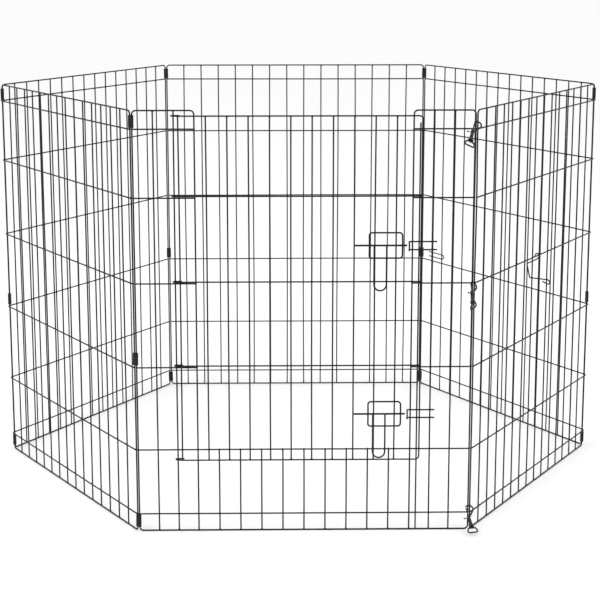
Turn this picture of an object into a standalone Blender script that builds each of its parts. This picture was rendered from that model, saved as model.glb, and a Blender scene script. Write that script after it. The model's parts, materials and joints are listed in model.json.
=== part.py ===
"""Folding wire pet playpen: six panels in a ring, with a door, slide bolts, clips and snap hooks."""

import math

import bpy
import bmesh
from mathutils import Matrix, Vector

# Driving dimensions, in metres
PANELS = 6
PANEL_HEIGHT = 0.762
FRAME_SPAN = 0.594  # one side wire of a panel to the other, centre to centre
LINK = 0.004  # side wires of two neighbouring panels, centre to centre
FRAME_WIRE = 0.0014  # radii of the wires
MESH_WIRE = 0.00135
LATCH_WIRE = 0.0015
BOLT_ROD = 0.0017
CORNER_BEND = 0.007
INNER_WIRES = 14  # upright wires of a plain panel between its side wires
RAIL_STEPS = (0.032, 0.120)  # outer rail spacings, the same from the top and from the bottom
RAIL_OUT = 0.0024  # a panel's rails stand this far outside its frame
UPRIGHT_IN = 0.0001
RAIL_END = 0.0009  # a rail runs this far past the side wire's centre

# Door panel: a mesh stub each side of the doorway
STUB = 0.107
STUB_STEPS = 3
SILL_STEPS = 10
KEEPER_ROD = 0.0117  # extra upright beside the right stub, from the doorway's edge
KEEPER_ROD_TOP = 0.7394

# Door, measured from its hinge wire
DOOR_OUT = 0.0062  # plane of the door's wires outside the panel's frame
DOOR_RAIL_OUT = 0.0038
DOOR_WIDTH = 0.4316
DOOR_FIRST = 0.0081
DOOR_SECOND = 0.0556
DOOR_STEP = 0.03676
DOOR_INNER = 10
DOOR_TOP = 0.7515
DOOR_BOTTOM = 0.135
DOOR_LIFT = 0.0031  # the door's cross wires ride this far above the panel's rails
CURL = 0.0039
CURL_TAIL = 0.011
JOGGLE = 0.0055

# Latches: distances along the door panel from its middle
LATCH_HEIGHTS = {"upper": 0.5255, "lower": 0.2205}
GUIDE_LEFT, GUIDE_RIGHT = 0.1137, 0.1717
GUIDE_HALF = 0.0225
GUIDE_FLAT = 0.008
GUIDE_FOOT_OUT = 0.00935
GUIDE_SIDE_OUT = 0.01315
ROD_OUT = 0.0096
ROD_LEFT, ROD_RIGHT = 0.0885, 0.180  # drawn back
HANDLE_OUT = 0.01265
HANDLE_MIDDLE = 0.1332
HANDLE_HALF = 0.0109
HANDLE_DROP = 0.080
KEEPER_LEFT, KEEPER_RIGHT = 0.1835, 0.233
KEEPER_HALF = 0.0072
KEEPER_OUT = 0.0032
KEEPER_REACH = 0.0142
KEEPER_DROP = 0.0016  # below the rod's axis

# Clips that hold two side wires together
CLIP_HALF_HEIGHT = 0.011
CLIP_BORE = 0.00195
CLIP_WALL = 0.0014

# Snap hooks at the open corner, in each hook's own frame: +Z towards the hook, +X across it
SNAPS = {  # height on the wires, hook off their middle across and up, then in degrees:
    # tilt out, lean left, spin, turn of the eye
    "top": (0.7354, (0.0008, -0.0009), 34, 33, -18, 16),
    "middle": (0.4508, (-0.0003, -0.0001), 40, 18.5, 13, 80),
    "bottom": (0.0396, (0.0004, -0.0018), 47.5, 11.5, -12, 0),
}
HOOK_BEND = 0.0072
HOOK_WIRE = 0.0014
BARREL_X = -0.0054
BARREL_TOP = -0.013
BARREL_END = -0.037
PLUNGER = 0.0011
STUD = -0.0184  # height of the thumb stud on the plunger
STUD_TRAVEL = 0.0055
SPRING_TURNS = 4.5

# Storage hook and its catch
STORAGE_HOOK_WIRE = 0.00125
STORAGE_HOOK_AT = 0.001
HOOK_COIL = 0.0039  # radius of its turn round the rail
HOOK_COIL_PITCH = 0.004
HOOK_COIL_POINTS = 9
HOOK_RUN = 0.056
HOOK_ARM = 0.041
HOOK_ARM_LOW = -0.033
CATCH_RIGHT, CATCH_LEFT = 0.273, 0.213

BOTTOM = FRAME_WIRE * 1.054 * math.cos(math.pi / 8)
TOP = PANEL_HEIGHT - BOTTOM
HALF = FRAME_SPAN / 2
DOORWAY = HALF - STUB
HINGE_X = -HALF + STUB * 2 / STUB_STEPS
APOTHEM = FRAME_SPAN * math.cos(math.pi / PANELS) + LINK
RING_BACK = 0.0184  # puts the middle of the whole pen, with its snap hooks, on the origin
CORNERS = ("front_left", "left", "back_left", "back_right", "right", "front_right")

BLACK = (0.012, 0.012, 0.013)
STEEL = (0.45, 0.45, 0.46)

for old in list(bpy.data.objects):
    bpy.data.objects.remove(old)
playpen = bpy.data.collections.new("pet_playpen")
bpy.context.scene.collection.children.link(playpen)


def rails():
    """Heights of a panel's rails between its top and bottom wires, lowest first."""
    edge, next_step = RAIL_STEPS
    low = [BOTTOM + edge, BOTTOM + edge + next_step]
    high = [TOP - edge - next_step, TOP - edge]
    middle = (high[0] - low[1]) / 3
    return low + [low[1] + middle, low[1] + 2 * middle] + high


def rounded(points, radius, closed=False, step=30):
    """The points with each corner replaced by an arc."""
    points = [Vector(p) for p in points]
    count = len(points)
    out = []
    for i, corner in enumerate(points):
        if not closed and i in (0, count - 1):
            out.append(corner)
            continue
        a = (corner - points[i - 1]).normalized()
        b = (points[(i + 1) % count] - corner).normalized()
        turn = a.angle(b)
        if turn < 0.02:
            out.append(corner)
            continue
        reach = radius * math.tan(turn / 2)
        start, end = corner - a * reach, corner + b * reach
        middle = corner + (b - a).normalized() * radius / math.cos(turn / 2)
        arcs = max(2, round(math.degrees(turn) / step))
        for k in range(arcs + 1):
            t = turn * k / arcs
            from_start = (start - middle) * math.sin(turn - t)
            from_end = (end - middle) * math.sin(t)
            out.append(middle + (from_start + from_end) / math.sin(turn))
    return out


def tube(name, runs, radius, sides=8, closed=False):
    """A mesh object of round wire along each run of points, of the true wire's section area."""
    curve = bpy.data.curves.new(name, "CURVE")
    curve.dimensions = "3D"
    curve.use_fill_caps = True
    curve.bevel_resolution = sides // 2 - 2
    curve.bevel_depth = radius * math.sqrt(math.tau / (sides * math.sin(math.tau / sides)))
    for run in runs:
        spline = curve.splines.new("POLY")
        spline.points.add(len(run) - 1)
        spline.use_cyclic_u = closed
        for point, place in zip(spline.points, run):
            point.co = (*place, 1)
            point.tilt = math.pi / sides
    return solid(name, curve)


def solid(name, curve):
    """The curve as a mesh object, with its caps welded."""
    drawn = bpy.data.objects.new(name + "_curve", curve)
    playpen.objects.link(drawn)
    bpy.context.view_layer.update()
    seen = drawn.evaluated_get(bpy.context.evaluated_depsgraph_get())
    mesh = bpy.data.meshes.new_from_object(seen)
    bpy.data.objects.remove(drawn)
    return mesh_object(name, mesh)


def mesh_object(name, mesh):
    """The mesh as an object, welded and with its faces pointing out."""
    shape = bmesh.new()
    shape.from_mesh(mesh)
    bmesh.ops.remove_doubles(shape, verts=shape.verts, dist=0.00001)
    bmesh.ops.recalc_face_normals(shape, faces=shape.faces)
    many_sided = [face for face in shape.faces if len(face.verts) > 4]
    bmesh.ops.triangulate(shape, faces=many_sided, ngon_method="BEAUTY")
    shape.to_mesh(mesh)
    shape.free()
    mesh.name = name
    made = bpy.data.objects.new(name, mesh)
    playpen.objects.link(made)
    return made


def turned(name, profile, steps=12):
    """A turned solid: the profile, from the axis round its outer side, swept about Z."""
    mesh = bpy.data.meshes.new(name)
    corners = [(x, 0, z) for x, z in profile]
    mesh.from_pydata(corners, [(i, i + 1) for i in range(len(corners) - 1)], [])
    outline = bpy.data.objects.new(name, mesh)
    playpen.objects.link(outline)
    sweep = outline.modifiers.new("sweep", "SCREW")
    sweep.steps = sweep.render_steps = steps
    sweep.use_merge_vertices = True
    sweep.merge_threshold = 0.00001
    return applied(outline)


def applied(made):
    """The object with its modifiers made permanent."""
    bpy.context.view_layer.update()
    seen = made.evaluated_get(bpy.context.evaluated_depsgraph_get())
    mesh = bpy.data.meshes.new_from_object(seen)
    name = made.name
    bpy.data.objects.remove(made)
    return mesh_object(name, mesh)


def combined(base, others, operation="UNION"):
    """The base with each other object joined to it or cut from it."""
    for other in others:
        step = base.modifiers.new(other.name, "BOOLEAN")
        step.operation = operation
        step.object = other
    done = applied(base)
    for other in others:
        bpy.data.objects.remove(other)
    return done


def finish(made, colour, roughness, metallic):
    """Gives the object its own material and smooth round sides."""
    coat = bpy.data.materials.new(made.name + "_finish")
    coat.use_nodes = True
    surface = coat.node_tree.nodes["Principled BSDF"]
    surface.inputs["Base Color"].default_value = (*colour, 1)
    surface.inputs["Roughness"].default_value = roughness
    surface.inputs["Metallic"].default_value = metallic
    made.data.materials.clear()
    made.data.materials.append(coat)
    made.data.shade_smooth()
    made.data.set_sharp_from_angle(angle=math.radians(50))


def black_wire(made):
    finish(made, BLACK, 0.38, 0.0)


def frame_of(name, location, turn=None):
    """An empty that pieces are placed on, in the ring's own frame."""
    place = bpy.data.objects.new(name, None)
    playpen.objects.link(place)
    place.matrix_world = Matrix.Translation(location) @ (turn or Matrix()).to_4x4()
    place.parent = ring_centre
    return place


def put(made, parent, location=(0, 0, 0), turn=(0, 0, 0)):
    made.parent = parent
    made.location = location
    made.rotation_euler = turn


def panel_turn(k):
    return Matrix.Rotation(-k * math.tau / PANELS, 3, "Z")


def panel_end(k, side):
    """Foot of a side wire of panel k: side is -1 at its left seen from outside, 1 at its right."""
    return panel_turn(k % PANELS) @ Vector((side * HALF, -APOTHEM, 0))


def plain_panel():
    """Mesh of a plain panel, with its origin on its right side wire."""
    outline = [(-HALF, 0, BOTTOM), (HALF, 0, BOTTOM), (HALF, 0, TOP), (-HALF, 0, TOP)]
    frame = tube("panel", [rounded(outline, CORNER_BEND, closed=True)], FRAME_WIRE, closed=True)
    pitch = FRAME_SPAN / (INNER_WIRES + 1)
    uprights = []
    for i in range(1, INNER_WIRES + 1):
        x = -HALF + i * pitch
        uprights.append([(x, UPRIGHT_IN, BOTTOM), (x, UPRIGHT_IN, TOP)])
    end = HALF + RAIL_END
    bars = [[(-end, -RAIL_OUT, z), (end, -RAIL_OUT, z)] for z in rails()]
    grid = tube("uprights", uprights, MESH_WIRE, sides=4)
    cross = tube("rails", bars, MESH_WIRE, sides=4)
    panel = combined(frame, [grid, cross])
    panel.data.transform(Matrix.Translation((-HALF, 0, 0)))
    mesh = panel.data
    bpy.data.objects.remove(panel)
    return mesh


def door_panel():
    """The front panel: two mesh stubs, a sill under the doorway and the wire the door hangs on."""
    foot = BOTTOM + 0.0016
    outline = [
        (-DOORWAY, 0, foot),
        (-DOORWAY, 0, TOP),
        (-HALF, 0, TOP),
        (-HALF, 0, BOTTOM),
        (HALF, 0, BOTTOM),
        (HALF, 0, TOP),
        (DOORWAY, 0, TOP),
        (DOORWAY, 0, foot),
    ]
    frame = tube("door_panel", [rounded(outline, CORNER_BEND)], FRAME_WIRE)
    feet = [[(x, 0, BOTTOM), (x, 0, BOTTOM + 0.006)] for x in (-DOORWAY, DOORWAY)]
    welds = tube("feet", feet, FRAME_WIRE + 0.0002)
    levels = rails()
    uprights = []
    for i in range(1, STUB_STEPS):
        for side in (-1, 1):
            x = side * (HALF - STUB * i / STUB_STEPS)
            uprights.append([(x, UPRIGHT_IN, BOTTOM), (x, UPRIGHT_IN, TOP)])
    for i in range(1, SILL_STEPS):
        x = -DOORWAY + 2 * DOORWAY * i / SILL_STEPS
        uprights.append([(x, UPRIGHT_IN, BOTTOM), (x, UPRIGHT_IN, levels[1] + MESH_WIRE)])
    x = DOORWAY + KEEPER_ROD
    uprights.append([(x, UPRIGHT_IN, BOTTOM), (x, UPRIGHT_IN, KEEPER_ROD_TOP)])
    outer, inner = HALF + RAIL_END, DOORWAY - RAIL_END
    bars = [[(-outer, -RAIL_OUT, z), (outer, -RAIL_OUT, z)] for z in levels[:2]]
    for z in levels[2:]:
        bars.append([(-outer, -RAIL_OUT, z), (-inner, -RAIL_OUT, z)])
        bars.append([(inner, -RAIL_OUT, z), (outer, -RAIL_OUT, z)])
    grid = tube("uprights", uprights, MESH_WIRE, sides=4)
    cross = tube("rails", bars, MESH_WIRE, sides=4)
    return combined(frame, [welds, grid, cross])


def curl(z):
    """A door wire's end, from its tail behind the hinge wire round to the front of it."""
    points = [(CURL_TAIL, CURL, z)]
    for degrees in range(270, 89, -30):
        a = math.radians(degrees)
        points.append((CURL * math.cos(a), -CURL * math.sin(a), z))
    return points


def door():
    """The door, with its origin on the hinge wire."""
    far = -DOOR_OUT - UPRIGHT_IN
    near = -DOOR_RAIL_OUT - UPRIGHT_IN
    bend = rounded([(JOGGLE, far, DOOR_TOP), (DOOR_WIDTH, far, DOOR_TOP),
                    (DOOR_WIDTH, far, DOOR_BOTTOM), (JOGGLE, far, DOOR_BOTTOM)], CORNER_BEND)
    edge = curl(DOOR_TOP) + bend + curl(DOOR_BOTTOM)[::-1]
    frame = tube("door", [edge], MESH_WIRE)
    places = [DOOR_FIRST] + [DOOR_SECOND + i * DOOR_STEP for i in range(DOOR_INNER)]
    grid = tube("uprights", [[(x, far, DOOR_BOTTOM), (x, far, DOOR_TOP)] for x in places],
                MESH_WIRE, sides=4)
    cross = []
    for z in rails()[2:5]:
        cross.append(curl(z + DOOR_LIFT) + [(DOOR_WIDTH + RAIL_END, near, z + DOOR_LIFT)])
    return combined(frame, [tube("cross_wires", cross, MESH_WIRE), grid])


def bolt_guide(name):
    """Loop on the door that the bolt slides in: its sides bow out over the rod."""
    loop = []
    for x in (GUIDE_LEFT, GUIDE_RIGHT):
        side = [(x, -GUIDE_FOOT_OUT, -GUIDE_HALF), (x, -GUIDE_SIDE_OUT, -GUIDE_FLAT),
                (x, -GUIDE_SIDE_OUT, GUIDE_FLAT), (x, -GUIDE_FOOT_OUT, GUIDE_HALF)]
        loop += side if x == GUIDE_LEFT else side[::-1]
    return tube(name, [rounded(loop, 0.005, closed=True)], LATCH_WIRE, closed=True)


def slide_bolt(name):
    """Straight rod with a U-shaped finger pull welded on its front."""
    rod = tube(name, [[(ROD_LEFT, 0, 0), (ROD_RIGHT, 0, 0)]], BOLT_ROD)
    left, right = HANDLE_MIDDLE - HANDLE_HALF, HANDLE_MIDDLE + HANDLE_HALF
    front = ROD_OUT - HANDLE_OUT
    pull = [(left, front, 0.0012), (left, front, -HANDLE_DROP),
            (right, front, -HANDLE_DROP), (right, front, 0.0012)]
    return combined(rod, [tube("pull", [rounded(pull, HANDLE_HALF - 0.0001)], LATCH_WIRE)])


def keeper(name):
    """Staple on the right stub whose closed end stands out through the door for the bolt."""
    path = [(KEEPER_RIGHT, -KEEPER_OUT, KEEPER_HALF), (KEEPER_LEFT, -KEEPER_OUT, KEEPER_HALF),
            (KEEPER_LEFT, -KEEPER_REACH, KEEPER_HALF), (KEEPER_LEFT, -KEEPER_REACH, -KEEPER_HALF),
            (KEEPER_LEFT, -KEEPER_OUT, -KEEPER_HALF), (KEEPER_RIGHT, -KEEPER_OUT, -KEEPER_HALF)]
    return tube(name, [rounded(path, 0.003)], FRAME_WIRE)


def clip():
    """Mesh of a clip: a sleeve round two side wires, with its origin on the first."""
    curve = bpy.data.curves.new("clip", "CURVE")
    curve.dimensions = "2D"
    curve.fill_mode = "BOTH"
    curve.extrude = CLIP_HALF_HEIGHT
    for radius in (CLIP_BORE, CLIP_BORE + CLIP_WALL):
        spline = curve.splines.new("POLY")
        spline.use_cyclic_u = True
        spline.points.add(11)
        for i, point in enumerate(spline.points):
            angle = math.radians(15 + 30 * i)
            shift = 0 if math.cos(angle) > 0 else -LINK
            point.co = (shift + radius * math.cos(angle), radius * math.sin(angle), 0, 1)
    made = solid("clip", curve)
    mesh = made.data
    bpy.data.objects.remove(made)
    return mesh


def snap_body(name):
    """Hook and hollow barrel, in one casting, with a slot for the thumb stud."""
    profile = [(0, -0.0298), (0.0021, -0.0298), (0.0021, -0.016), (0.0014, -0.016),
               (0.0014, BARREL_TOP), (0.0024, BARREL_TOP), (0.003, BARREL_TOP - 0.0008),
               (0.003, -0.020), (0.0036, -0.031), (0.005, BARREL_END + 0.0015),
               (0.005, BARREL_END), (0.0014, BARREL_END), (0.0014, -0.0342), (0.0023, -0.0342),
               (0.0023, -0.031), (0, -0.031)]
    barrel = turned(name, profile)
    barrel.data.transform(Matrix.Translation((BARREL_X, 0, 0)))
    foot = Vector((BARREL_X + 0.003, 0, BARREL_TOP - 0.0018))
    first = math.atan2(foot.z, foot.x) + math.acos(HOOK_BEND / foot.length)
    last = math.radians(142)
    steps = 9
    run = [foot]
    for i in range(steps + 1):
        a = first + (last - first) * i / steps
        run.append((HOOK_BEND * math.cos(a), 0, HOOK_BEND * math.sin(a)))
    slot = tube("slot", [[(BARREL_X - 0.006, 0, STUD), (BARREL_X - 0.001, 0, STUD)]],
                0.001, sides=4)
    for corner in slot.data.vertices:
        top = corner.co.z > STUD
        corner.co.z = STUD + 0.001 if top else STUD - STUD_TRAVEL - 0.001
    whole = combined(barrel, [tube("hook", [run], HOOK_WIRE)])
    return combined(whole, [slot], "DIFFERENCE")


def snap_bolt(name):
    """Spring-loaded plunger that closes the hook, with a thumb stud through the slot."""
    profile = [(0, 0.0028), (PLUNGER, 0.0028), (PLUNGER, -0.0168), (0.0019, -0.0168),
               (0.0019, -0.020), (0, -0.020)]
    plunger = turned(name, profile, steps=8)
    stud = turned("stud", [(0, 0.0096), (0.0013, 0.0096), (0.0013, 0.0076), (0.0007, 0.007),
                           (0.0007, 0), (0, 0)], steps=8)
    stud.data.transform(Matrix.Translation((0, 0, STUD)) @ Matrix.Rotation(-math.pi / 2, 4, "Y"))
    return combined(plunger, [stud])


def snap_spring(name):
    """Compression spring between the plunger and the barrel's floor."""
    top, floor, per_turn = -0.0206, -0.0292, 8
    count = int(SPRING_TURNS * per_turn)
    coil = []
    for i in range(count + 1):
        a = math.tau * i / per_turn
        height = top + (floor - top) * i / count
        coil.append((0.0014 * math.cos(a), 0.0014 * math.sin(a), height))
    return tube(name, [coil], 0.00028, sides=4)


def snap_eye(name):
    """Swivel eye: a stem headed inside the barrel, and a tapered loop."""
    top = BARREL_END - 0.0019
    profile = [(0, -0.0315), (0.0019, -0.0315), (0.0019, -0.0338), (0.001, -0.0338),
               (0.001, top), (0, top)]
    bar = top - 0.009
    loop = [(-0.0066, 0, top), (0.0066, 0, top), (0.0103, 0, bar), (-0.0103, 0, bar)]
    ring = tube("loop", [rounded(loop, 0.0028, closed=True)], HOOK_WIRE, closed=True)
    return combined(turned(name, profile, steps=8), [ring])


def storage_hook(name):
    """Bent wire that hangs on a rail; its origin is on the rail's centre line."""
    coil = []
    for i in range(HOOK_COIL_POINTS + 1):
        a = math.radians(225 - 30 * i)
        along = HOOK_COIL_PITCH * (1 - i / HOOK_COIL_POINTS)
        coil.append((-along, -HOOK_COIL * math.cos(a), HOOK_COIL * math.sin(a)))
    bend = (-HOOK_RUN, -0.0003, -0.0066)
    heel = (-HOOK_RUN, bend[1] - 0.0065, HOOK_ARM_LOW)
    tip_out = heel[1] - HOOK_ARM
    arm = [(-HOOK_RUN, tip_out + 0.0045, HOOK_ARM_LOW - 0.0005),
           (-HOOK_RUN, tip_out, HOOK_ARM_LOW - 0.0045), (-HOOK_RUN, tip_out + 0.0035, HOOK_ARM_LOW - 0.0095),
           (-HOOK_RUN, tip_out + 0.0155, HOOK_ARM_LOW - 0.0045)]
    run = [coil[-1], (-0.005, -0.0003, -0.0066), bend, heel] + arm
    return tube(name, [coil[:-1] + rounded(run, 0.0022)], STORAGE_HOOK_WIRE)


def hook_catch(name):
    """Staple on two uprights that the storage hook can drop into."""
    out = -MESH_WIRE - STORAGE_HOOK_WIRE - 0.0003
    path = [(CATCH_RIGHT, out, 0.005), (CATCH_LEFT + 0.006, out, 0.005),
            (CATCH_LEFT, out, 0), (CATCH_LEFT + 0.006, out, -0.005), (CATCH_RIGHT, out, -0.005)]
    return tube(name, [rounded(path, 0.002)], STORAGE_HOOK_WIRE)


ring_centre = bpy.data.objects.new("ring_centre", None)
playpen.objects.link(ring_centre)
ring_centre.location = (0, RING_BACK, 0)

# Panels
names = ("door_panel", "front_left_panel", "back_left_panel", "back_panel",
         "back_right_panel", "front_right_panel")
front = frame_of("front_place", (0, -APOTHEM, 0))
gate = door_panel()
put(gate, front)
black_wire(gate)
shape = plain_panel()
panels = [gate]
for k, name in enumerate(names[1:], 1):
    panel = bpy.data.objects.new(name, shape.copy())
    playpen.objects.link(panel)
    place = frame_of(name + "_place", panel_end(k, 1), panel_turn(k))
    put(panel, place)
    black_wire(panel)
    panels.append(panel)
bpy.data.meshes.remove(shape)

# Clips, three to each hinged corner
levels = rails()
sleeve = clip()
for k, corner in enumerate(CORNERS[:-1]):
    first, second = panel_end(k, -1), panel_end(k + 1, 1)
    heading = (first - second).to_2d()
    turn = Matrix.Rotation(math.atan2(heading.y, heading.x), 3, "Z")
    heights = {
        "top": levels[5] + CLIP_HALF_HEIGHT + 0.0022,
        "middle": levels[2] + CLIP_HALF_HEIGHT + 0.0045,
        "bottom": BOTTOM + CORNER_BEND + CLIP_HALF_HEIGHT,
    }
    link = frame_of(corner + "_link", first, turn)
    for level, z in heights.items():
        ring = bpy.data.objects.new(f"{corner}_clip_{level}", sleeve.copy())
        playpen.objects.link(ring)
        put(ring, link, (0, 0, z))
        finish(ring, BLACK, 0.5, 0.0)
bpy.data.meshes.remove(sleeve)

# Door and latches
hinge = frame_of("door_hinge", (HINGE_X, -APOTHEM + UPRIGHT_IN, 0))
leaf = door()
put(leaf, hinge)
black_wire(leaf)
for level, z in LATCH_HEIGHTS.items():
    latch = frame_of(level + "_latch", (0, -APOTHEM, z))
    guide = bolt_guide(level + "_bolt_guide")
    put(guide, latch)
    staple = keeper(level + "_keeper")
    put(staple, latch, (0, 0, -KEEPER_DROP))
    bolt = slide_bolt(level + "_slide_bolt")
    put(bolt, latch, (0, -ROD_OUT, 0))
    for made in (guide, staple, bolt):
        black_wire(made)

# Snap hooks round the side wires at the open corner
last, first = panel_end(PANELS - 1, -1), panel_end(0, 1)
along = (last - first).normalized()
outward = Vector((along.y, -along.x, 0))
for level, (height, (across, lift), tilt, lean, spin, eye_turn) in SNAPS.items():
    tilt = math.radians(tilt)
    up = Vector((0, 0, math.cos(tilt))) - outward * math.sin(tilt)
    facing = Matrix((along, up.cross(along), up)).transposed()
    facing = facing @ Matrix.Rotation(math.radians(lean), 3, "Y")
    facing = facing @ Matrix.Rotation(math.radians(spin), 3, "Z")
    middle = (last + first) / 2 + Vector((0, 0, height)) + facing @ Vector((across, 0, lift))
    place = frame_of(f"snap_{level}_place", middle, facing)
    body = snap_body(f"snap_{level}_body")
    put(body, place)
    finish(body, BLACK, 0.3, 0.6)
    bolt = snap_bolt(f"snap_{level}_bolt")
    spring = snap_spring(f"snap_{level}_spring")
    eye = snap_eye(f"snap_{level}_eye")
    for made in (bolt, spring, eye):
        put(made, place, (BARREL_X, 0, 0))
    eye.rotation_euler.z = math.radians(eye_turn)
    finish(bolt, BLACK, 0.3, 0.6)
    finish(spring, STEEL, 0.35, 1.0)
    finish(eye, BLACK, 0.3, 0.6)

# Storage hook on the front right panel, and its catch on the back right one
hook = storage_hook("storage_hook")
put(hook, panels[5].parent, (STORAGE_HOOK_AT - HALF, -RAIL_OUT, levels[3]))
black_wire(hook)
staple = hook_catch("hook_catch")
put(staple, panels[4].parent, (-HALF, UPRIGHT_IN, levels[2] + 0.015))
black_wire(staple)
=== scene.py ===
"""The finished look of a folding wire pet playpen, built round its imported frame."""

import json
import math
import random

import bmesh
import bpy
from mathutils import Matrix, Vector


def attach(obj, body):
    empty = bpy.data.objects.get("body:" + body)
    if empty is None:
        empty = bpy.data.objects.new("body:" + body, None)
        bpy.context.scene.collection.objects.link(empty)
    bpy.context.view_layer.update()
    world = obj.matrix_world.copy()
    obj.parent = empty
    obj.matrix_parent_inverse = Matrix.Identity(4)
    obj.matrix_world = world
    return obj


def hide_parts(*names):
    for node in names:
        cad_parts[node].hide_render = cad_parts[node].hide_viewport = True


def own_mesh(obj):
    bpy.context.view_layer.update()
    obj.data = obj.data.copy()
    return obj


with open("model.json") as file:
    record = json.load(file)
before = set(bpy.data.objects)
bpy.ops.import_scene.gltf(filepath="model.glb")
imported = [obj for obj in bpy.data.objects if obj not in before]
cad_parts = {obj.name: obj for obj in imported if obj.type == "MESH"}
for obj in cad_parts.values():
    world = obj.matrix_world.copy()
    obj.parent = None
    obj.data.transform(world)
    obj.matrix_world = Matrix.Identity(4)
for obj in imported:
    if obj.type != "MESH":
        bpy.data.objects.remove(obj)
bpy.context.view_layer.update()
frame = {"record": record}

# Plain panels
# Five welded grids of drawn steel wire. One wire is bent round each panel's outline, and rails
# are resistance-welded across the uprights on the outer side, so each crossing has a flat bead.
# The welded grid is dipped whole in black paint, which dries satin and a little uneven.
PANELS = 6
PANEL_HEIGHT = 0.762
FRAME_SPAN = 0.594  # one side wire to the other, centre to centre
SIDE_GAP = 0.004  # side wires of two neighbouring panels, centre to centre
FRAME_WIRE = 0.0014  # radii of the wires
GRID_WIRE = 0.00135
CORNER_BEND = 0.007
INNER_UPRIGHTS = 14
RAIL_STEPS = (0.032, 0.120)  # outer rail spacings, the same from the top and from the bottom
RAIL_OUT = 0.0024
RAIL_END = 0.0009
UPRIGHT_IN = 0.0001
SHEARED = 0.0004  # how far a cut wire's edge is rounded over
SHEARED_TIP = 0.72  # and its tip's share of the wire's radius
WIRE_STEPS = 12  # straight pieces along each wire
FREE_STEPS = 40
SHARP = 48  # degrees
BEAD = 0.0019
PANEL_SWAY = 0.0011  # how far a wire bows from straight
RAIL_SWAY = 0.0004
OPEN_SPANS = ((0.050, 0.440, 0.0011), (0.460, 0.724, 0.0022))  # low, high and bow of the free side
BOTTOM = 0.001363
TOP = PANEL_HEIGHT - BOTTOM
HALF = FRAME_SPAN / 2
APOTHEM = FRAME_SPAN * math.cos(math.pi / PANELS) + SIDE_GAP
RING_BACK = 0.0184  # middle of the ring behind the middle of the whole pen
PAINT_DARK = (0.0045, 0.0046, 0.0055, 1)
PAINT_LIGHT = (0.0105, 0.0107, 0.0125, 1)
PAINT_CHIP = (0.045, 0.045, 0.048, 1)

dice = random.Random(41)
body_of = {}
for body, nodes in frame["record"]["behaviour"]["bodies"].items():
    for node in nodes:
        body_of[node] = body


def rail_heights():
    """Heights of a panel's rails between its top and bottom wires, lowest first."""
    edge, step = RAIL_STEPS
    low = [BOTTOM + edge, BOTTOM + edge + step]
    high = [TOP - edge - step, TOP - edge]
    third = (high[0] - low[1]) / 3
    return low + [low[1] + third, low[1] + 2 * third] + high


def ring_place(k):
    """Where panel k stands: its own X runs along it, and its own -Y points out of the ring."""
    middle = Matrix.Translation((0, RING_BACK, 0))
    turn = Matrix.Rotation(-k * math.tau / PANELS, 4, "Z")
    return middle @ turn @ Matrix.Translation((0, -APOTHEM, 0))


def bent(points, radius, closed=False, step=15):
    """The points with each corner replaced by the arc that a bending pin leaves."""
    points = [Vector(p) for p in points]
    out = []
    for i, corner in enumerate(points):
        if not closed and i in (0, len(points) - 1):
            out.append(corner)
            continue
        a = (corner - points[i - 1]).normalized()
        b = (points[(i + 1) % len(points)] - corner).normalized()
        turn = a.angle(b)
        if turn < 0.05:
            out.append(corner)
            continue
        reach = radius * math.tan(turn / 2)
        start, end = corner - a * reach, corner + b * reach
        pin = corner + (b - a).normalized() * radius / math.cos(turn / 2)
        arcs = max(2, round(math.degrees(turn) / step))
        for n in range(arcs + 1):
            t = turn * n / arcs
            swept = (start - pin) * math.sin(turn - t) + (end - pin) * math.sin(t)
            out.append(pin + swept / math.sin(turn))
    return out


def mesh_of(name, made):
    """The object as a plain mesh object, with its modifiers made permanent."""
    bpy.context.view_layer.update()
    seen = made.evaluated_get(bpy.context.evaluated_depsgraph_get())
    mesh = bpy.data.meshes.new_from_object(seen)
    bpy.data.objects.remove(made)
    mesh.name = name
    piece = bpy.data.objects.new(name, mesh)
    bpy.context.scene.collection.objects.link(piece)
    return piece


def drawn_wire(name, runs, radius, closed=False, sides=12, taper=None):
    """Round wire along each run of points, with its sheared ends a little rounded over."""
    curve = bpy.data.curves.new(name + "_path", "CURVE")
    curve.dimensions = "3D"
    curve.use_fill_caps = True
    curve.bevel_resolution = sides // 2 - 2
    curve.bevel_depth = radius
    for run in runs:
        run = [Vector(p) for p in run]
        thick = [taper(i / (len(run) - 1)) if taper else 1 for i in range(len(run))]
        if not closed:
            start = run[0] + (run[1] - run[0]).normalized() * SHEARED
            end = run[-1] + (run[-2] - run[-1]).normalized() * SHEARED
            run = [run[0], start] + run[1:-1] + [end, run[-1]]
            thick = [thick[0] * SHEARED_TIP] + thick + [thick[-1] * SHEARED_TIP]
        spline = curve.splines.new("POLY")
        spline.points.add(len(run) - 1)
        spline.use_cyclic_u = closed
        for point, place, size in zip(spline.points, run, thick):
            point.co = (*place, 1)
            point.radius = size
    path = bpy.data.objects.new(name + "_path", curve)
    bpy.context.scene.collection.objects.link(path)
    return mesh_of(name, path)


def made_of(name, shape):
    """The finished bmesh as a mesh object in the scene."""
    mesh = bpy.data.meshes.new(name)
    shape.to_mesh(mesh)
    shape.free()
    piece = bpy.data.objects.new(name, mesh)
    bpy.context.scene.collection.objects.link(piece)
    return piece


def joined(base, others):
    """The base with the other pieces' meshes added to its own."""
    shape = bmesh.new()
    for made in [base] + others:
        shape.from_mesh(made.data)
    shape.to_mesh(base.data)
    shape.free()
    for made in others:
        bpy.data.objects.remove(made)
    return base


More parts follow.
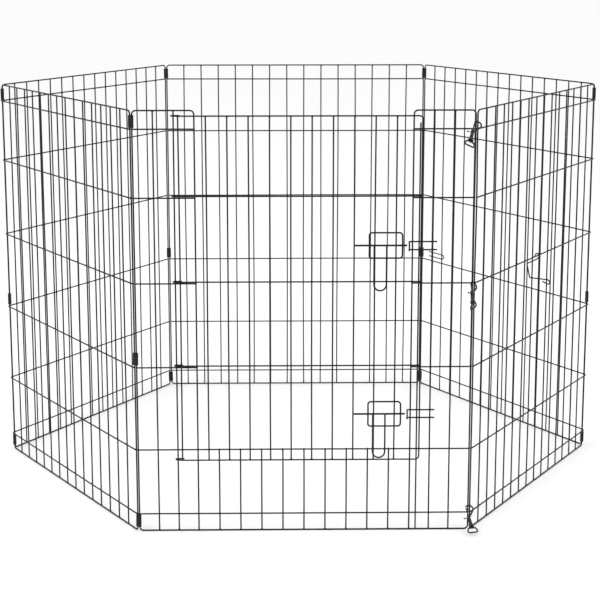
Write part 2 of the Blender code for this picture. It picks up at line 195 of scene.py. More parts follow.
def add_beads(made, places, size=BEAD, flat=(1, 0.62, 1)):
    """Adds the flattened bead of squeezed steel that a spot weld leaves at each place."""
    shape = bmesh.new()
    shape.from_mesh(made.data)
    for place in places:
        grown = size * dice.uniform(0.88, 1.08)
        squash = Matrix.Diagonal((grown * flat[0], grown * flat[1], grown * flat[2], 1))
        squash = Matrix.Translation(place) @ squash
        bmesh.ops.create_icosphere(shape, subdivisions=2, radius=1, matrix=squash)
    shape.to_mesh(made.data)
    shape.free()


def bow(sway):
    """How far one wire strays from straight at each fraction of its length."""
    once, twice = dice.uniform(-sway, sway), dice.uniform(-sway, sway) / 2
    return lambda t: once * math.sin(math.pi * t) + twice * math.sin(math.tau * t)


def enamel(name, dark, light, chip, smooth, rough, gloss, peel, grain=1.0):
    """Baked paint on steel: cloudy in colour and sheen, finely pebbled, with a few tiny chips."""
    paint = bpy.data.materials.new(name)
    paint.use_nodes = True
    nodes, links = paint.node_tree.nodes, paint.node_tree.links
    surface = nodes["Principled BSDF"]
    surface.inputs["Specular IOR Level"].default_value = gloss
    surface.inputs["Coat Weight"].default_value = 0.02
    surface.inputs["Coat Roughness"].default_value = 0.22
    where = nodes.new("ShaderNodeTexCoord")

    def cloud(scale, detail):
        noise = nodes.new("ShaderNodeTexNoise")
        noise.inputs["Scale"].default_value = scale * grain
        noise.inputs["Detail"].default_value = detail
        links.new(where.outputs["Object"], noise.inputs["Vector"])
        return noise.outputs["Fac"]

    shade = nodes.new("ShaderNodeValToRGB")
    shade.color_ramp.elements[0].position = 0.36
    shade.color_ramp.elements[0].color = dark
    shade.color_ramp.elements[1].position = 0.66
    shade.color_ramp.elements[1].color = light
    links.new(cloud(38, 4), shade.inputs["Fac"])
    chips = nodes.new("ShaderNodeTexVoronoi")
    chips.inputs["Scale"].default_value = 210 * grain
    links.new(where.outputs["Object"], chips.inputs["Vector"])
    worn = nodes.new("ShaderNodeValToRGB")
    worn.color_ramp.elements[0].position = 0.045
    worn.color_ramp.elements[0].color = (1, 1, 1, 1)
    worn.color_ramp.elements[1].position = 0.085
    worn.color_ramp.elements[1].color = (0, 0, 0, 1)
    links.new(chips.outputs["Distance"], worn.inputs["Fac"])
    mix = nodes.new("ShaderNodeMix")
    mix.data_type = "RGBA"
    links.new(worn.outputs["Color"], mix.inputs["Factor"])
    links.new(shade.outputs["Color"], mix.inputs[6])
    mix.inputs[7].default_value = chip
    links.new(mix.outputs[2], surface.inputs["Base Color"])
    sheen = nodes.new("ShaderNodeMapRange")
    sheen.inputs["To Min"].default_value = smooth
    sheen.inputs["To Max"].default_value = rough
    links.new(cloud(95, 3), sheen.inputs["Value"])
    links.new(sheen.outputs["Result"], surface.inputs["Roughness"])
    pebble = nodes.new("ShaderNodeBump")
    pebble.inputs["Strength"].default_value = peel
    pebble.inputs["Distance"].default_value = 0.0002
    links.new(cloud(900, 2), pebble.inputs["Height"])
    links.new(pebble.outputs["Normal"], surface.inputs["Normal"])
    return paint


def fitted(made, place, node, finish):
    """Sets a finished piece in its place in the pen, standing for the solid of that name."""
    made.data.transform(place)
    made.data.materials.clear()
    made.data.materials.append(finish)
    made.data.shade_smooth()
    made.data.set_sharp_from_angle(angle=math.radians(SHARP))
    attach(made, body_of[node])
    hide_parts(node)
    return made


def upright_wire(x, low, high, sway):
    """An upright's points, and its place at any height."""
    stray = bow(sway)

    def at(z):
        return x + stray((z - low) / (high - low))

    points = []
    for i in range(WIRE_STEPS + 1):
        z = low + (high - low) * i / WIRE_STEPS
        points.append((at(z), UPRIGHT_IN, z))
    return points, at


def rail_wire(start, end, z, sway):
    """A rail's points along a panel."""
    stray = bow(sway)
    points = []
    for i in range(WIRE_STEPS + 1):
        x = start + (end - start) * i / WIRE_STEPS
        points.append((x, -RAIL_OUT, z + stray(i / WIRE_STEPS)))
    return points


def free_side(z):
    """How far the free side wire springs from its neighbour between the snap hooks."""
    for low, high, reach in OPEN_SPANS:
        if low < z < high:
            return reach * math.sin(math.pi * (z - low) / (high - low)) ** 2
    return 0


dipped_paint = enamel("dipped_black_paint", PAINT_DARK, PAINT_LIGHT, PAINT_CHIP,
                      0.34, 0.52, 0.14, 0.25)
plain_names = ("front_left_panel", "back_left_panel", "back_panel", "back_right_panel",
               "front_right_panel")
for k, name in enumerate(plain_names, 1):
    left_side = [(-HALF, 0, TOP)]
    if name == "front_right_panel":
        for i in range(1, FREE_STEPS):
            z = TOP - (TOP - BOTTOM) * i / FREE_STEPS
            if CORNER_BEND * 2 < z < TOP - CORNER_BEND * 2:
                left_side.append((-HALF + free_side(z), 0, z))
    outline = [(-HALF, 0, BOTTOM), (HALF, 0, BOTTOM), (HALF, 0, TOP)] + left_side
    outer = drawn_wire(name + "_wires", [bent(outline, CORNER_BEND, closed=True)], FRAME_WIRE,
                       closed=True)
    grid, beads = [], []
    crossings = rail_heights()
    for i in range(1, INNER_UPRIGHTS + 1):
        x = -HALF + i * FRAME_SPAN / (INNER_UPRIGHTS + 1)
        points, at = upright_wire(x, BOTTOM, TOP, PANEL_SWAY)
        grid.append(points)
        beads += [(at(z), -RAIL_OUT / 2, z) for z in crossings]
        beads += [(x, 0, BOTTOM + GRID_WIRE), (x, 0, TOP - GRID_WIRE)]
    for z in crossings:
        grid.append(rail_wire(-HALF - RAIL_END, HALF + RAIL_END, z, RAIL_SWAY))
        beads += [(-HALF, -RAIL_OUT / 2, z), (HALF, -RAIL_OUT / 2, z)]
    panel = joined(outer, [drawn_wire("grid", grid, GRID_WIRE)])
    add_beads(panel, beads)
    fitted(panel, ring_place(k), name, dipped_paint)

# Door panel
# The front panel of the same dipped wire. Its outline wire runs up both edges of the doorway, so
# a narrow grid stands at each side of it and a low sill of short uprights runs below it. One more
# upright beside the right-hand grid carries the keepers.
STUB = 0.107
STUB_STEPS = 3
SILL_STEPS = 10
KEEPER_ROD = 0.0117
KEEPER_ROD_TOP = 0.7394
DOOR_PANEL_SWAY = 0.0005
DOORWAY = HALF - STUB

foot = BOTTOM + 0.0016
outline = [(-DOORWAY, 0, foot), (-DOORWAY, 0, TOP), (-HALF, 0, TOP), (-HALF, 0, BOTTOM),
           (HALF, 0, BOTTOM), (HALF, 0, TOP), (DOORWAY, 0, TOP), (DOORWAY, 0, foot)]
outer = drawn_wire("door_panel_wires", [bent(outline, CORNER_BEND)], FRAME_WIRE)
crossings = rail_heights()
grid = []
beads = [(-DOORWAY, 0, BOTTOM + 0.001), (DOORWAY, 0, BOTTOM + 0.001)]
for i in range(1, STUB_STEPS):
    for side in (-1, 1):
        x = side * (HALF - STUB * i / STUB_STEPS)
        points, at = upright_wire(x, BOTTOM, TOP, DOOR_PANEL_SWAY)
        grid.append(points)
        beads += [(at(z), -RAIL_OUT / 2, z) for z in crossings]
        beads += [(x, 0, BOTTOM + GRID_WIRE), (x, 0, TOP - GRID_WIRE)]
for i in range(1, SILL_STEPS):
    x = -DOORWAY + 2 * DOORWAY * i / SILL_STEPS
    points, at = upright_wire(x, BOTTOM, crossings[1] + GRID_WIRE, DOOR_PANEL_SWAY / 3)
    grid.append(points)
    beads += [(at(z), -RAIL_OUT / 2, z) for z in crossings[:2]] + [(x, 0, BOTTOM + GRID_WIRE)]
points, at = upright_wire(DOORWAY + KEEPER_ROD, BOTTOM, KEEPER_ROD_TOP, DOOR_PANEL_SWAY / 3)
grid.append(points)
beads += [(at(z), -RAIL_OUT / 2, z) for z in crossings]
for z in crossings[:2]:
    grid.append(rail_wire(-HALF - RAIL_END, HALF + RAIL_END, z, RAIL_SWAY))
for z in crossings[2:]:
    grid.append(rail_wire(-HALF - RAIL_END, -DOORWAY + RAIL_END, z, RAIL_SWAY / 3))
    grid.append(rail_wire(DOORWAY - RAIL_END, HALF + RAIL_END, z, RAIL_SWAY / 3))
for z in crossings:
    beads += [(side, -RAIL_OUT / 2, z) for side in (-HALF, -DOORWAY, DOORWAY, HALF)]
door_panel = joined(outer, [drawn_wire("grid", grid, GRID_WIRE)])
add_beads(door_panel, beads)
fitted(door_panel, ring_place(0), "door_panel", dipped_paint)

# Door
# A lighter leaf of the same wire, welded as a grid and dipped. Its edge wire and its three cross
# wires end in curls rolled round the wire at the left of the doorway, which are its hinges.
DOOR_OUT = 0.0062
DOOR_CROSS_OUT = 0.0038
DOOR_WIDTH = 0.4316
DOOR_FIRST = 0.0081
DOOR_SECOND = 0.0556
DOOR_STEP = 0.03676
DOOR_INNER = 10
DOOR_TOP = 0.7515
DOOR_BOTTOM = 0.135
DOOR_LIFT = 0.0031
DOOR_SWAY = 0.0005
CURL = 0.0039
CURL_TAIL = 0.011
JOGGLE = 0.0055
HINGE_X = -HALF + STUB * 2 / STUB_STEPS


def curl(z):
    """A door wire's end, from its tail behind the hinge wire round to the front of it."""
    points = [(CURL_TAIL, CURL, z)]
    for degrees in range(270, 89, -15):
        a = math.radians(degrees)
        points.append((CURL * math.cos(a), -CURL * math.sin(a), z))
    return points


far = -DOOR_OUT - UPRIGHT_IN
near = -DOOR_CROSS_OUT - UPRIGHT_IN
edge = curl(DOOR_TOP)
edge += bent([(JOGGLE, far, DOOR_TOP), (DOOR_WIDTH, far, DOOR_TOP),
              (DOOR_WIDTH, far, DOOR_BOTTOM), (JOGGLE, far, DOOR_BOTTOM)], CORNER_BEND)
edge += curl(DOOR_BOTTOM)[::-1]
grid, beads = [edge], []
cross_heights = [z + DOOR_LIFT for z in crossings[2:5]]
places = [DOOR_FIRST] + [DOOR_SECOND + i * DOOR_STEP for i in range(DOOR_INNER)]
for x in places:
    points, at = upright_wire(x, DOOR_BOTTOM, DOOR_TOP, DOOR_SWAY)
    grid.append([(px, far, pz) for px, _, pz in points])
    beads += [(at(z), (far + near) / 2, z) for z in cross_heights]
    beads += [(x, far, DOOR_BOTTOM + GRID_WIRE), (x, far, DOOR_TOP - GRID_WIRE)]
for z in cross_heights:
    grid.append(curl(z) + [(DOOR_WIDTH + RAIL_END, near, z)])
    beads.append((DOOR_WIDTH, (far + near) / 2, z))
leaf = drawn_wire("door_wires", grid, GRID_WIRE)
add_beads(leaf, beads)
hinge = ring_place(0) @ Matrix.Translation((HINGE_X, UPRIGHT_IN, 0))
fitted(leaf, hinge, "door", dipped_paint)

# Slide bolts and their guides
# Each latch is a straight rod with a U-shaped finger pull welded on its front. It slides in a
# flat loop of wire whose two sides bow out over the rod; the loop is welded to the door.
LATCH_HEIGHTS = {"upper": 0.5255, "lower": 0.2205}
LATCH_WIRE = 0.0015
GUIDE_LEFT, GUIDE_RIGHT = 0.1137, 0.1717
GUIDE_HALF = 0.0225
GUIDE_FLAT = 0.008
GUIDE_FOOT_OUT = 0.00935
GUIDE_SIDE_OUT = 0.01315
GUIDE_BEND = 0.005
LATCH_BEAD = 0.0017
BOLT_ROD = 0.0017
ROD_OUT = 0.0096
ROD_LEFT, ROD_RIGHT = 0.0885, 0.180
PULL_OUT = 0.01265
PULL_MIDDLE = 0.1332
PULL_HALF = 0.0109
PULL_DROP = 0.080

for level, z in LATCH_HEIGHTS.items():
    latch = ring_place(0) @ Matrix.Translation((0, 0, z))
    loop = []
    for x in (GUIDE_LEFT, GUIDE_RIGHT):
        side = [(x, -GUIDE_FOOT_OUT, -GUIDE_HALF), (x, -GUIDE_SIDE_OUT, -GUIDE_FLAT),
                (x, -GUIDE_SIDE_OUT, GUIDE_FLAT), (x, -GUIDE_FOOT_OUT, GUIDE_HALF)]
        loop += side if x == GUIDE_LEFT else side[::-1]
    guide = drawn_wire(level + "_guide_loop", [bent(loop, GUIDE_BEND, closed=True)], LATCH_WIRE,
                       closed=True)
    welds = []
    for x in places:
        on_panel = HINGE_X + x
        if GUIDE_LEFT + 0.003 < on_panel < GUIDE_RIGHT - 0.003:
            for end in (-GUIDE_HALF, GUIDE_HALF):
                welds.append((on_panel, -GUIDE_FOOT_OUT + LATCH_WIRE, end))
    add_beads(guide, welds, LATCH_BEAD)
    fitted(guide, latch, level + "_bolt_guide", dipped_paint)
    rod = drawn_wire(level + "_bolt_rod", [[(ROD_LEFT, 0, 0), (ROD_RIGHT, 0, 0)]], BOLT_ROD,
                     sides=16)
    left, right = PULL_MIDDLE - PULL_HALF, PULL_MIDDLE + PULL_HALF
    front = ROD_OUT - PULL_OUT
    pull = [(left, front, 0.0014), (left, front, -PULL_DROP), (right, front, -PULL_DROP),
            (right, front, 0.0014)]
    pull = drawn_wire("pull", [bent(pull, PULL_HALF - 0.0001)], LATCH_WIRE)
    bolt = joined(rod, [pull])
    add_beads(bolt, [(left, front / 2, 0), (right, front / 2, 0)], 0.0021, (1, 0.7, 0.8))
    fitted(bolt, latch @ Matrix.Translation((0, -ROD_OUT, 0)), level + "_slide_bolt",
           dipped_paint)

# Keepers
# A staple of wire at each latch. Its two legs are welded across the right-hand grid, and its
# closed end stands out past the door's edge so that the bolt's rod passes behind it.
KEEPER_LEFT, KEEPER_RIGHT = 0.1835, 0.233
KEEPER_HALF = 0.0072
KEEPER_OUT = 0.0032
KEEPER_REACH = 0.0142
KEEPER_DROP = 0.0016
KEEPER_BEND = 0.003

for level, z in LATCH_HEIGHTS.items():
    path = [(KEEPER_RIGHT, -KEEPER_OUT, KEEPER_HALF), (KEEPER_LEFT, -KEEPER_OUT, KEEPER_HALF),
            (KEEPER_LEFT, -KEEPER_REACH, KEEPER_HALF),
            (KEEPER_LEFT, -KEEPER_REACH, -KEEPER_HALF),
            (KEEPER_LEFT, -KEEPER_OUT, -KEEPER_HALF), (KEEPER_RIGHT, -KEEPER_OUT, -KEEPER_HALF)]
    staple = drawn_wire(level + "_keeper_staple", [bent(path, KEEPER_BEND)], FRAME_WIRE)
    welds = []
    for x in (DOORWAY, DOORWAY + KEEPER_ROD, HALF - STUB * 2 / STUB_STEPS):
        welds += [(x, -KEEPER_OUT / 2, half) for half in (-KEEPER_HALF, KEEPER_HALF)]
    add_beads(staple, welds, LATCH_BEAD)
    fitted(staple, ring_place(0) @ Matrix.Translation((0, 0, z - KEEPER_DROP)),
           level + "_keeper", dipped_paint)

# Corner clips
# Short sleeves of steel strip, three at each hinged corner. Each is rolled round the two side
# wires until its edges nearly meet behind them, pinched a little between them, and enamelled.
CORNERS = ("front_left", "left", "back_left", "back_right", "right")
CLIP_HALF_HEIGHT = 0.011
CLIP_ROLL = 0.00265  # middle of the strip from each wire's centre
CLIP_STRIP = 0.0012
CLIP_WAIST = 0.00055
CLIP_SEAM = 0.0004
CLIP_FLARE = 0.00018
CLIP_ABOVE_TOP_RAIL = 0.0022
CLIP_ABOVE_MIDDLE_RAIL = 0.0045
CLIP_EDGE = 0.0002
CLIP_SKEW = 1.2  # degrees

strip_enamel = enamel("rolled_clip_enamel", (0.006, 0.006, 0.007, 1), (0.014, 0.014, 0.016, 1),
                      (0.06, 0.06, 0.062, 1), 0.3, 0.5, 0.18, 0.35)


def rolled_clip(name):
    """A strip rolled round two wires, the first on its own Z axis and the other on its left."""
    section = []
    for centre, first, last in ((-SIDE_GAP, 90, 270), (0, 270, 450)):
        for degrees in range(first, last + 1, 15):
            a = math.radians(degrees)
            section.append(Vector((centre + CLIP_ROLL * math.cos(a), CLIP_ROLL * math.sin(a))))
    half = len(section) // 2
    waist = Vector((-SIDE_GAP / 2, -CLIP_ROLL + CLIP_WAIST))
    section = section[:half] + [waist] + section[half:]
    seam = Vector((-SIDE_GAP / 2, CLIP_ROLL - CLIP_WAIST / 2))
    section = [seam - Vector((CLIP_SEAM, 0))] + section + [seam + Vector((CLIP_SEAM, 0))]
    levels = (-1, -0.93, -0.5, 0, 0.5, 0.93, 1)
    shape = bmesh.new()
    rows = []
    for level in levels:
        flare = CLIP_FLARE if abs(level) > 0.95 else 0
        row = []
        for point in section:
            away = point - Vector((-SIDE_GAP / 2, 0))
            place = point + away.normalized() * flare
            row.append(shape.verts.new((*place, level * CLIP_HALF_HEIGHT)))
        rows.append(row)
    for low, high in zip(rows, rows[1:]):
        for i in range(len(section) - 1):
            shape.faces.new((low[i], low[i + 1], high[i + 1], high[i]))
    bmesh.ops.recalc_face_normals(shape, faces=shape.faces)
    made = made_of(name, shape)
    sheet = made.modifiers.new("sheet", "SOLIDIFY")
    sheet.thickness = CLIP_STRIP
    sheet.offset = 0
    edge = made.modifiers.new("edge", "BEVEL")
    edge.width = CLIP_EDGE
    edge.segments = 2
    edge.limit_method = "ANGLE"
    edge.angle_limit = math.radians(50)
    return mesh_of(name, made)


for k, corner in enumerate(CORNERS):
    first = ring_place(k) @ Vector((-HALF, 0, 0))
    second = ring_place(k + 1) @ Vector((HALF, 0, 0))
    heading = first - second
    turn = Matrix.Rotation(math.atan2(heading.y, heading.x), 4, "Z")
    heights = {
        "top": crossings[5] + CLIP_HALF_HEIGHT + CLIP_ABOVE_TOP_RAIL,
        "middle": crossings[2] + CLIP_HALF_HEIGHT + CLIP_ABOVE_MIDDLE_RAIL,
        "bottom": BOTTOM + CORNER_BEND + CLIP_HALF_HEIGHT,
    }
    for level, z in heights.items():
        node = f"{corner}_clip_{level}"
        clip = rolled_clip(node + "_sleeve")
        skew = Matrix.Rotation(math.radians(dice.uniform(-CLIP_SKEW, CLIP_SKEW)), 4, "Y")
        place = Matrix.Translation(first + Vector((0, 0, z))) @ turn
        middle = Matrix.Translation((-SIDE_GAP / 2, 0, 0))
        place = place @ middle @ skew @ middle.inverted()
        fitted(clip, place, node, strip_enamel)

# Snap hooks
# Three cast zinc bolt snaps close the open corner. Each is one casting of hook and hollow barrel
# with a slot; a sprung plunger with a thumb stud closes the hook, and a swivel eye hangs below.
# They are enamelled black, and the spring inside is left as bright steel.
SNAPS = {  # height on the wires, hook off their middle across and up, then in degrees:
    # tilt out, lean left, spin, turn of the eye
    "top": (0.7354, (0.0008, -0.0009), 34, 33, -18, 16),
    "middle": (0.4508, (-0.0003, -0.0001), 40, 18.5, 13, 80),
    "bottom": (0.0396, (0.0004, -0.0018), 47.5, 11.5, -12, 0),
}
HOOK_BEND = 0.0072
HOOK_WIRE = 0.0014
BARREL_X = -0.0054
BARREL_TOP = -0.013
BARREL_END = -0.037
PLUNGER = 0.0011
STUD = -0.0184
STUD_TRAVEL = 0.0055
CAST_VOXEL = 0.00028
SPRING_TOP, SPRING_FLOOR = -0.0206, -0.0292
SPRING_TURNS = 4.5
SPRING_COIL = 0.0014
SPRING_WIRE = 0.00028

cast_enamel = enamel("cast_hook_enamel", (0.006, 0.006, 0.007, 1), (0.02, 0.02, 0.022, 1),
                     (0.12, 0.12, 0.125, 1), 0.24, 0.42, 0.3, 0.5, 1.4)


def turned(name, profile, steps=28):
    """A turned solid: the profile, from the axis round its outer side, swept about Z."""
    shape = bmesh.new()
    rings = []
    for x, z in profile:
        count = steps if x else 1
        turns = [math.tau * i / steps for i in range(count)]
        rings.append([shape.verts.new((x * math.cos(a), x * math.sin(a), z)) for a in turns])
    for low, high in zip(rings, rings[1:]):
        for i in range(steps):
            n = (i + 1) % steps
            corners = [low[i % len(low)], low[n % len(low)], high[n % len(high)],
                       high[i % len(high)]]
            corners = list(dict.fromkeys(corners))
            shape.faces.new(corners)
    bmesh.ops.recalc_face_normals(shape, faces=shape.faces)
    return made_of(name, shape)


def slot_cutter():
    """A round-ended bar that cuts the thumb stud's slot in the barrel's left side."""
    shape = bmesh.new()
    ends = []
    for x in (BARREL_X - 0.006, BARREL_X - 0.001):
        ring = []
        for middle, first in ((STUD, 0), (STUD - STUD_TRAVEL, 180)):
            for degrees in range(first, first + 181, 30):
                a = math.radians(degrees)
                ring.append(shape.verts.new((x, 0.001 * math.cos(a), middle + 0.001 * math.sin(a))))
        ends.append(ring)
    count = len(ends[0])
    for i in range(count):
        n = (i + 1) % count
        shape.faces.new((ends[0][i], ends[0][n], ends[1][n], ends[1][i]))
    shape.faces.new(ends[0])
    shape.faces.new(ends[1])
    bmesh.ops.recalc_face_normals(shape, faces=shape.faces)
    return made_of("slot", shape)


def hook_casting(name):
    """Hook and hollow barrel in one casting, with soft edges where they meet."""
    profile = [(0, -0.0298), (0.0021, -0.0298), (0.0021, -0.016), (0.0014, -0.016),
               (0.0014, BARREL_TOP), (0.0024, BARREL_TOP), (0.003, BARREL_TOP - 0.0008),
               (0.0033, -0.0150), (0.003, -0.0160), (0.003, -0.020), (0.0033, -0.027),
               (0.0037, -0.0315), (0.0046, -0.0338), (0.005, BARREL_END + 0.0015),
               (0.005, BARREL_END), (0.0014, BARREL_END), (0.0014, -0.0342),
               (0.0023, -0.0342), (0.0023, -0.031), (0, -0.031)]
    barrel = turned(name, profile)
    barrel.data.transform(Matrix.Translation((BARREL_X, 0, 0)))
    cutter = slot_cutter()
    cut = barrel.modifiers.new("slot", "BOOLEAN")
    cut.operation = "DIFFERENCE"
    cut.object = cutter
    barrel = mesh_of(name, barrel)
    bpy.data.objects.remove(cutter)
    start = Vector((BARREL_X + 0.003, 0, BARREL_TOP - 0.0018))
    first = math.atan2(start.z, start.x) + math.acos(HOOK_BEND / start.length)
    last = math.radians(142)
    run = [start + Vector((-0.0012, 0, -0.0022)), start]
    for i in range(25):
        a = first + (last - first) * i / 24
        run.append((HOOK_BEND * math.cos(a), 0, HOOK_BEND * math.sin(a)))
    hook = drawn_wire("hook", [run], HOOK_WIRE, sides=16, taper=lambda t: 1.16 - 0.22 * t)
    joined(barrel, [hook])
    cast = barrel.modifiers.new("cast", "REMESH")
    cast.mode = "VOXEL"
    cast.voxel_size = CAST_VOXEL
    soften = barrel.modifiers.new("soften", "SMOOTH")
    soften.factor = 0.5
    soften.iterations = 3
    return mesh_of(name, barrel)


def plunger_with_stud(name):
    """Plunger that closes the hook, with a ribbed thumb stud through the slot."""
    rod = turned(name, [(0, 0.0028), (PLUNGER * 0.8, 0.0028), (PLUNGER, 0.0025),
                        (PLUNGER, -0.0168), (0.0019, -0.0168), (0.0019, -0.020), (0, -0.020)], 20)
    stud = turned("stud", [(0, 0.0096), (0.0009, 0.0096), (0.0013, 0.0093), (0.0013, 0.0088),
                           (0.0011, 0.0086), (0.0013, 0.0084), (0.0013, 0.0076),
                           (0.0007, 0.007), (0.0007, 0), (0, 0)], 20)
    stud.data.transform(Matrix.Translation((0, 0, STUD)) @ Matrix.Rotation(-math.pi / 2, 4, "Y"))
    return joined(rod, [stud])


def swivel_eye(name):
    """Stem headed inside the barrel, and the tapered loop that it carries."""
    top = BARREL_END - 0.0019
    bar = top - 0.009
    stem = turned(name, [(0, -0.0315), (0.0019, -0.0315), (0.0019, -0.0338), (0.001, -0.0338),
                         (0.001, top + 0.0008), (0.0014, top), (0.001, top - 0.0006),
                         (0, top - 0.0008)], 20)
    loop = [(-0.0066, 0, top), (0.0066, 0, top), (0.0103, 0, bar), (-0.0103, 0, bar)]
    ring = drawn_wire("loop", [bent(loop, 0.0028, closed=True)], HOOK_WIRE, closed=True, sides=16)
    return joined(stem, [ring])


def spring_wire(name):
    """Compression spring between the plunger and the barrel's floor."""
    per_turn = 20
    count = int(SPRING_TURNS * per_turn)
    run = []
    for i in range(count + 1):
        a = math.tau * i / per_turn
        z = SPRING_TOP + (SPRING_FLOOR - SPRING_TOP) * i / count
        run.append((SPRING_COIL * math.cos(a), SPRING_COIL * math.sin(a), z))
    return drawn_wire(name, [run], SPRING_WIRE, sides=8)


spring_steel = bpy.data.materials.new("bright_spring_steel")
spring_steel.use_nodes = True
nodes, links = spring_steel.node_tree.nodes, spring_steel.node_tree.links
surface = nodes["Principled BSDF"]
surface.inputs["Metallic"].default_value = 1
streaks = nodes.new("ShaderNodeTexNoise")
streaks.inputs["Scale"].default_value = 700
shade = nodes.new("ShaderNodeValToRGB")
shade.color_ramp.elements[0].color = (0.22, 0.22, 0.23, 1)
shade.color_ramp.elements[1].color = (0.55, 0.55, 0.57, 1)
links.new(streaks.outputs["Fac"], shade.inputs["Fac"])
links.new(shade.outputs["Color"], surface.inputs["Base Color"])
polish = nodes.new("ShaderNodeMapRange")
polish.inputs["To Min"].default_value = 0.22
polish.inputs["To Max"].default_value = 0.4
links.new(streaks.outputs["Fac"], polish.inputs["Value"])
links.new(polish.outputs["Result"], surface.inputs["Roughness"])

last_wire = ring_place(PANELS - 1) @ Vector((-HALF, 0, 0))
first_wire = ring_place(0) @ Vector((HALF, 0, 0))
along = (last_wire - first_wire).normalized()
outward = Vector((along.y, -along.x, 0))
for level, (height, (across, lift), tilt, lean, spin, eye_turn) in SNAPS.items():
    tilt = math.radians(tilt)
    up = Vector((0, 0, math.cos(tilt))) - outward * math.sin(tilt)
    facing = Matrix((along, up.cross(along), up)).transposed()
    facing = facing @ Matrix.Rotation(math.radians(lean), 3, "Y")
    facing = facing @ Matrix.Rotation(math.radians(spin), 3, "Z")
    middle = (last_wire + first_wire) / 2 + Vector((0, 0, height))
    middle += facing @ Vector((across, 0, lift))
    place = Matrix.Translation(middle) @ facing.to_4x4()
    inside = place @ Matrix.Translation((BARREL_X, 0, 0))
    snap = f"snap_{level}"
    fitted(hook_casting(snap + "_casting"), place, snap + "_body", cast_enamel)
    fitted(plunger_with_stud(snap + "_plunger"), inside, snap + "_bolt",
           cast_enamel)
    turn = Matrix.Rotation(math.radians(eye_turn), 4, "Z")
    fitted(swivel_eye(snap + "_swivel_eye"), inside @ turn, snap + "_eye",
           cast_enamel)
    spring = fitted(spring_wire(snap + "_spring_coil"), inside, snap + "_spring",
                    spring_steel)
    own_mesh(spring)

# Storage hook
# One bent wire that hangs on the front right panel's fourth rail by a turn of its own end. It
# holds the folded panels together, and is dipped in the same black paint.
STORAGE_WIRE = 0.00125
STORAGE_AT = 0.001
STORAGE_COIL = 0.0039
STORAGE_PITCH = 0.004
COIL_SWEEP = 270
STORAGE_RUN = 0.056
STORAGE_ARM = 0.041
ARM_LOW = -0.033
ARM_BEND = 0.0022

coil = []
for degrees in range(0, COIL_SWEEP, 15):
    a = math.radians(225 - degrees)
    turn_left = STORAGE_PITCH * (1 - degrees / COIL_SWEEP)
    coil.append((-turn_left, -STORAGE_COIL * math.cos(a), STORAGE_COIL * math.sin(a)))
end_of_coil = (0, -STORAGE_COIL * math.cos(math.radians(225 - COIL_SWEEP)),
               STORAGE_COIL * math.sin(math.radians(225 - COIL_SWEEP)))
heel = (-STORAGE_RUN, -0.0068, ARM_LOW)
tip_out = heel[1] - STORAGE_ARM
run = [end_of_coil, (-0.005, -0.0003, -0.0066), (-STORAGE_RUN, -0.0003, -0.0066), heel,
       (-STORAGE_RUN, tip_out + 0.0045, ARM_LOW - 0.0005),
       (-STORAGE_RUN, tip_out, ARM_LOW - 0.0045),
       (-STORAGE_RUN, tip_out + 0.0035, ARM_LOW - 0.0095),
       (-STORAGE_RUN, tip_out + 0.0155, ARM_LOW - 0.0045)]
hook = drawn_wire("storage_hook_wire", [coil + bent(run, ARM_BEND)], STORAGE_WIRE)
place = ring_place(5) @ Matrix.Translation((STORAGE_AT, -RAIL_OUT, crossings[3]))
fitted(hook, place, "storage_hook", dipped_paint)

# Hook catch
# A flat staple of the same wire, welded across two uprights of the back right panel, that the
# storage hook drops into.
CATCH_RIGHT, CATCH_LEFT = 0.273, 0.213
CATCH_HALF = 0.005
CATCH_NOSE = 0.006
CATCH_BEND = 0.002
CATCH_UP = 0.015

out = -GRID_WIRE - STORAGE_WIRE - 0.0003
path = [(CATCH_RIGHT, out, CATCH_HALF), (CATCH_LEFT + CATCH_NOSE, out, CATCH_HALF),
        (CATCH_LEFT, out, 0), (CATCH_LEFT + CATCH_NOSE, out, -CATCH_HALF),
        (CATCH_RIGHT, out, -CATCH_HALF)]
catch = drawn_wire("hook_catch_staple", [bent(path, CATCH_BEND)], STORAGE_WIRE)
place = ring_place(4) @ Matrix.Translation((0, UPRIGHT_IN, crossings[2] + CATCH_UP))
fitted(catch, place, "hook_catch", dipped_paint)

# Floor
# A wide sheet of matt white studio board under the pen, with only the faint mottle of paper.
FLOOR_REACH = 70
FLOOR_BELOW = 0.0001

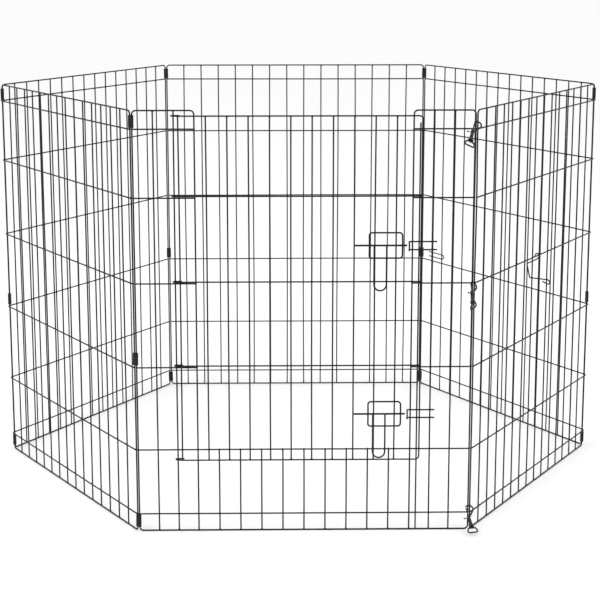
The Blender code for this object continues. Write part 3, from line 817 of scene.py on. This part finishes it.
shape = bmesh.new()
bmesh.ops.create_circle(shape, cap_ends=True, segments=96, radius=FLOOR_REACH)
floor = made_of("studio_floor", shape)
floor.location.z = -FLOOR_BELOW
board = bpy.data.materials.new("white_studio_board")
board.use_nodes = True
nodes, links = board.node_tree.nodes, board.node_tree.links
nodes["Principled BSDF"].inputs["Roughness"].default_value = 0.9
nodes["Principled BSDF"].inputs["Specular IOR Level"].default_value = 0.1
mottle = nodes.new("ShaderNodeTexNoise")
mottle.inputs["Scale"].default_value = 3
shade = nodes.new("ShaderNodeValToRGB")
shade.color_ramp.elements[0].color = (0.93, 0.93, 0.93, 1)
shade.color_ramp.elements[1].color = (0.96, 0.96, 0.96, 1)
links.new(mottle.outputs["Fac"], shade.inputs["Fac"])
links.new(shade.outputs["Color"], nodes["Principled BSDF"].inputs["Base Color"])
floor.data.materials.append(board)

# Light
# An even white surround, with two large soft panels of light that draw a faint line of sheen
# down the wires.
SURROUND = 1.03
PEN_MIDDLE = 0.35

surround = bpy.data.worlds.new("white_surround")
surround.use_nodes = True
surround.node_tree.nodes["Background"].inputs["Color"].default_value = (1, 1, 1, 1)
surround.node_tree.nodes["Background"].inputs["Strength"].default_value = SURROUND
bpy.context.scene.world = surround
bpy.context.scene.view_settings.view_transform = "Standard"
for name, spot, size, power in (("key_light", (-2.6, -3.0, 3.6), 2.4, 60),
                                ("fill_light", (3.2, -2.0, 2.8), 2.4, 28)):
    lamp = bpy.data.lights.new(name, "AREA")
    lamp.size = size
    lamp.energy = power
    stand = bpy.data.objects.new(name, lamp)
    bpy.context.scene.collection.objects.link(stand)
    stand.location = spot
    aim = Vector((0, 0, PEN_MIDDLE)) - Vector(spot)
    stand.rotation_euler = aim.to_track_quat("-Z", "Y").to_euler()

# Camera
# Just above the rim of the pen, in front of the door and a little to its left, looking down.
CAMERA_AT = (-0.0588, -3.4596, 1.0596)
LOOK_DOWN = 12.07
LOOK_RIGHT = 1.0
LENS = 103.06

camera = bpy.data.objects.new("camera", bpy.data.cameras.new("camera"))
camera.data.lens = LENS
camera.data.sensor_width = 36
camera.location = CAMERA_AT
camera.rotation_euler = (math.radians(90 - LOOK_DOWN), 0, -math.radians(LOOK_RIGHT))
bpy.context.scene.collection.objects.link(camera)
bpy.context.scene.camera = camera
